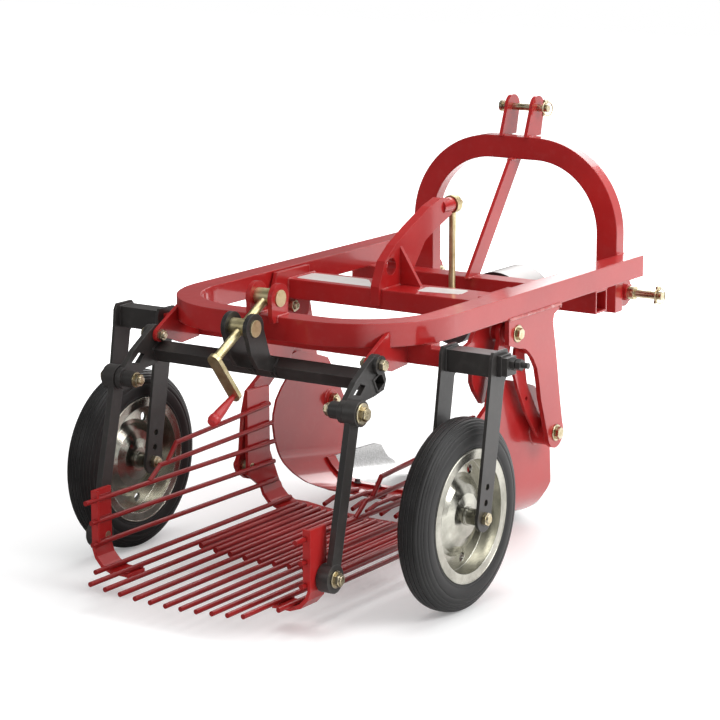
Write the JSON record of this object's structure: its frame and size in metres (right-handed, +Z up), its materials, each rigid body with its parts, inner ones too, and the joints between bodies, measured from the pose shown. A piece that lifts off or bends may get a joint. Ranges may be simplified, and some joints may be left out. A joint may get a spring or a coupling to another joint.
{
  "type": "vibrating potato digger",
  "caption": "Tractor-mounted vibrating potato digger: U-bent frame with hitch arch, rocker and tie rod, rolled share, rod sieve on drop links, crank lift and two forked gauge wheels.",
  "frame": {"origin": "on the ground, in the middle of the overall length and width", "axes": "+X to the machine's right, +Y forward to the tractor, +Z up"},
  "size_m": [1.176, 1.6579, 1.059],
  "materials": {
    "red_paint": "gloss",
    "grey_paint": "satin",
    "gold_zinc": "satin",
    "brass_zinc": "satin",
    "rim_zinc": "satin",
    "tyre": "matte",
    "red_grip": "satin",
    "bare_steel": "satin",
    "cast_housing": "matte",
    "black_plastic": "satin"
  },
  "bodies": {
    "frame": {"frame_tube": "red_paint", "low_beam": "red_paint", "arch": "red_paint", "arch_strut": "red_paint", "top_link_ears": "red_paint", "top_link_pin": "gold_zinc", "hitch_lugs": "red_paint", "hitch_pin_left": "gold_zinc", "hitch_pin_right": "gold_zinc", "leg_left": "red_paint", "leg_right": "red_paint", "leg_pivot_bolts": "gold_zinc", "share_bolts": "gold_zinc", "rear_brackets": "red_paint", "lift_pivot_bolts": "gold_zinc", "screw_ears": "red_paint", "wheel_beam": "red_paint", "beam_end": "grey_paint", "fork_left": "grey_paint", "fork_right": "grey_paint", "axle_left": "gold_zinc", "axle_right": "gold_zinc", "share": "red_paint", "share_blade": "bare_steel", "share_fingers": "red_paint", "share_stays": "red_paint", "pto_bearings": "cast_housing", "pto_guard": "black_plastic"},
    "wheel_left": {"rim_left": "rim_zinc", "tyre_left": "tyre"},
    "wheel_right": {"rim_right": "rim_zinc", "tyre_right": "tyre"},
    "lift_arm": {"lift_arm": "grey_paint"},
    "screw_nut": {"screw_nut": "brass_zinc"},
    "screw": {"screw": "brass_zinc", "crank_handle": "red_grip"},
    "link_bolts": {"link_bolts": "gold_zinc"},
    "drop_links": {"drop_links": "grey_paint"},
    "rocker": {"rocker": "red_paint", "rocker_lever": "red_paint", "lever_bolt": "gold_zinc", "rocker_arms": "red_paint"},
    "tie_rod": {"tie_rod": "brass_zinc", "eccentric_strap": "cast_housing"},
    "sieve_bolts": {"sieve_bolts": "gold_zinc"},
    "sieve": {"sieve_straps": "red_paint", "sieve_rods": "red_paint", "sieve_bars": "red_paint", "link_foot_bolts": "gold_zinc", "sieve_side_rods": "red_paint"},
    "pto_shaft": {"pto_shaft": "bare_steel"}
  },
  "joints": [
    {"name": "wheel_left_spin", "type": "hinge", "parent": "frame", "child": "wheel_left", "pos_m": [-0.5065, -0.344, 0.226], "axis": [1, 0, 0], "continuous": true},
    {"name": "wheel_right_spin", "type": "hinge", "parent": "frame", "child": "wheel_right", "pos_m": [0.4475, -0.344, 0.226], "axis": [1, 0, 0], "continuous": true},
    {"name": "pto_spin", "type": "hinge", "parent": "frame", "child": "pto_shaft", "pos_m": [-0.0295, 0.482, 0.49], "axis": [0, 1, 0], "continuous": true},
    {"name": "lift_swing", "type": "hinge", "parent": "frame", "child": "lift_arm", "pos_m": [-0.0295, -0.448, 0.578], "axis": [1, 0, 0], "range_deg": [-12, 3]},
    {"name": "rocker_swing", "type": "hinge", "parent": "frame", "child": "rocker", "pos_m": [-0.0295, 0.101, 0.561], "axis": [1, 0, 0], "range_deg": [-1.6, 1.6]},
    {"name": "screw_tilt", "type": "hinge", "parent": "frame", "child": "screw", "pos_m": [-0.0205, -0.434, 0.7], "axis": [1, 0, 0], "range_deg": [-4.31, 1.09]},
    {"name": "nut_tilt", "type": "hinge", "parent": "lift_arm", "child": "screw_nut", "pos_m": [-0.0205, -0.534, 0.645], "axis": [1, 0, 0], "range_deg": [-1.95, 7.73]},
    {"name": "link_bolt_turn", "type": "hinge", "parent": "lift_arm", "child": "link_bolts", "pos_m": [-0.0295, -0.567, 0.492], "axis": [1, 0, 0], "range_deg": [-3.6, 14.34]},
    {"name": "drop_link_swing", "type": "hinge", "parent": "link_bolts", "child": "drop_links", "pos_m": [-0.0295, -0.567, 0.492], "axis": [1, 0, 0], "range_deg": [-1.73, 1.73]},
    {"name": "tie_rod_swing", "type": "hinge", "parent": "rocker", "child": "tie_rod", "pos_m": [-0.0555, 0.452, 0.802], "axis": [1, 0, 0], "range_deg": [-0.384, 0.384]},
    {"name": "sieve_bolt_turn", "type": "hinge", "parent": "rocker", "child": "sieve_bolts", "pos_m": [-0.0295, -0.069, 0.167], "axis": [1, 0, 0], "range_deg": [-2.27, 0.58]},
    {"name": "sieve_swing", "type": "hinge", "parent": "sieve_bolts", "child": "sieve", "pos_m": [-0.0295, -0.069, 0.167], "axis": [1, 0, 0], "range_deg": [-1.83, 1.83]}
  ],
  "couplings": [
    {"joint": "screw_tilt", "follows": "lift_swing", "ratio": 0.3572},
    {"joint": "nut_tilt", "follows": "lift_swing", "ratio": -0.6428},
    {"joint": "link_bolt_turn", "follows": "lift_swing", "ratio": -1.1935},
    {"joint": "sieve_bolt_turn", "follows": "lift_swing", "ratio": 0.1874},
    {"joint": "drop_link_swing", "follows": "rocker_swing", "ratio": 1.0681},
    {"joint": "sieve_swing", "follows": "rocker_swing", "ratio": -1.1338},
    {"joint": "tie_rod_swing", "follows": "rocker_swing", "ratio": -0.2276}
  ]
}
